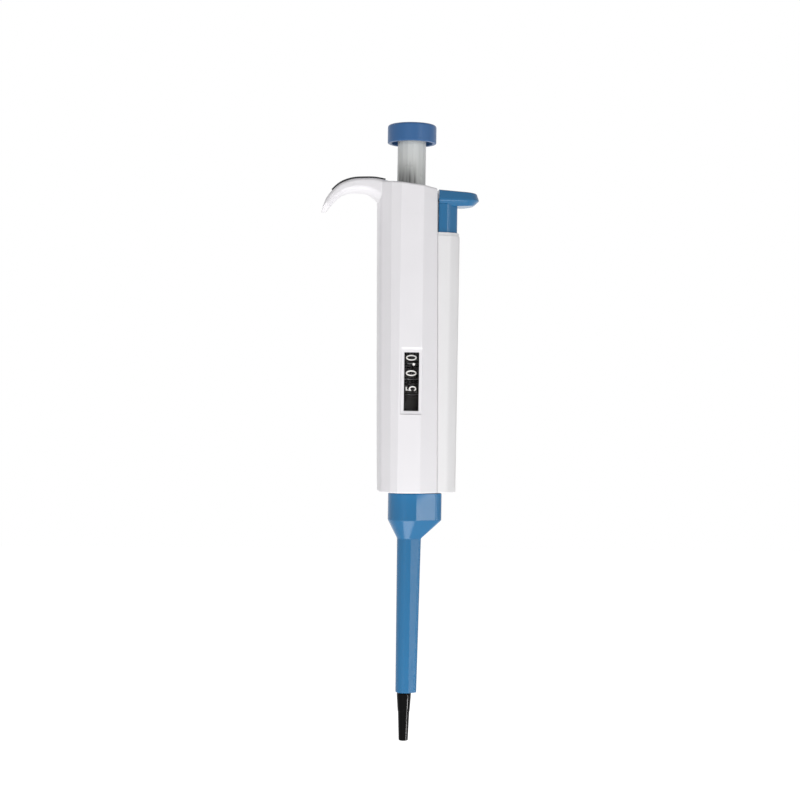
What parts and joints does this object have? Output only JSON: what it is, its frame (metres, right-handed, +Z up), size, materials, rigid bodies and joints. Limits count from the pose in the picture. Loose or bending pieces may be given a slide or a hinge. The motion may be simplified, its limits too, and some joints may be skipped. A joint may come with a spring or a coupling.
{
  "type": "single-channel pipette",
  "caption": "Adjustable air-displacement pipette with a finger hook, turning push button, number wheel counter in a window, and a sprung side ejector for disposable tips.",
  "frame": {"origin": "the pipette's own axis at the end face of its nozzle cone", "axes": "+Z up along the pipette's axis to the push button, -Y towards the counter window, -X towards the finger hook, +X towards the tip ejector"},
  "size_m": [0.0615, 0.0257, 0.2407],
  "materials": {
    "white_abs": "satin",
    "blue_abs": "satin",
    "grey_abs": "satin",
    "black_pvdf": "gloss",
    "black_acetal": "satin",
    "white_acetal": "satin",
    "dark_elastomer": "matte",
    "clear_pc": "clear gloss",
    "steel": "ground",
    "spring_steel": "drawn wire",
    "brass": "machined",
    "seal_pe": "matte"
  },
  "bodies": {
    "handle": {"handle_shell": "white_abs", "hook_pad": "dark_elastomer", "window_lens": "clear_pc", "ejector_cover": "white_abs", "guide_bush": "black_acetal", "counter_frame": "black_acetal", "volume_nut": "brass", "pinion_shaft": "steel", "blank_wheel": "black_acetal", "spring_housing": "white_acetal", "lock_nut": "brass", "shaft_tube": "black_pvdf", "tip_cone": "black_pvdf", "piston_seal": "seal_pe", "seal_o_ring": "dark_elastomer", "seal_retainer": "brass", "piston_spring": "spring_steel", "blowout_spring": "spring_steel", "ejector_spring": "spring_steel"},
    "adjuster": {"drive_hub": "white_acetal", "volume_spindle": "steel", "tenths_wheel": "black_acetal"},
    "plunger": {"push_button": "blue_abs", "plunger_sleeve": "grey_abs", "operating_rod": "steel", "stop_collar": "brass"},
    "piston_slide": {"piston": "steel", "piston_head": "white_acetal"},
    "blowout_slide": {"blowout_plate": "steel"},
    "units_counter": {"units_wheel": "black_acetal"},
    "tens_counter": {"tens_wheel": "black_acetal"},
    "carry_upper": {"carry_pinion_upper": "white_acetal"},
    "carry_lower": {"carry_pinion_lower": "white_acetal"},
    "ejector": {"ejector_button": "blue_abs", "ejector_rod": "steel", "ejector_sleeve": "blue_abs"}
  },
  "joints": [
    {"name": "volume_set", "type": "hinge", "parent": "handle", "child": "adjuster", "pos_m": [0, 0, 0.1549], "axis": [0, 0, 1], "range_deg": [-3240, 0]},
    {"name": "press", "type": "slide", "parent": "adjuster", "child": "plunger", "axis": [0, 0, -1], "range_m": [0, 0.0142], "stiffness_N_per_m": 400, "springref_m": -0.006, "deforming": ["piston_spring", "blowout_spring"]},
    {"name": "piston_stroke", "type": "slide", "parent": "handle", "child": "piston_slide", "axis": [0, 0, -1], "range_m": [0, 0.0142]},
    {"name": "blowout_stroke", "type": "slide", "parent": "handle", "child": "blowout_slide", "axis": [0, 0, -1], "range_m": [0, 0.0025]},
    {"name": "units_count", "type": "hinge", "parent": "handle", "child": "units_counter", "pos_m": [0, 0, 0.1432], "axis": [0, 0, 1], "range_deg": [-1620, 0]},
    {"name": "tens_count", "type": "hinge", "parent": "handle", "child": "tens_counter", "pos_m": [0, 0, 0.1373], "axis": [0, 0, 1], "range_deg": [-162, 0]},
    {"name": "carry_to_units", "type": "hinge", "parent": "handle", "child": "carry_upper", "pos_m": [0, 0.0095, 0.1462], "axis": [0, 0, 1], "range_deg": [0, 6480]},
    {"name": "carry_to_tens", "type": "hinge", "parent": "handle", "child": "carry_lower", "pos_m": [0, 0.0095, 0.1402], "axis": [0, 0, 1], "range_deg": [0, 648]},
    {"name": "eject", "type": "slide", "parent": "handle", "child": "ejector", "axis": [0, 0, -1], "range_m": [0, 0.01], "stiffness_N_per_m": 800, "springref_m": -0.005, "deforming": ["ejector_spring"]}
  ],
  "couplings": [
    {"joint": "piston_stroke", "follows": "press", "ratio": 1},
    {"joint": "blowout_stroke", "follows": "press", "ratio": 0.176},
    {"joint": "units_count", "follows": "volume_set", "ratio": 0.5},
    {"joint": "tens_count", "follows": "volume_set", "ratio": 0.05},
    {"joint": "carry_to_units", "follows": "volume_set", "ratio": -2},
    {"joint": "carry_to_tens", "follows": "volume_set", "ratio": -0.2}
  ]
}
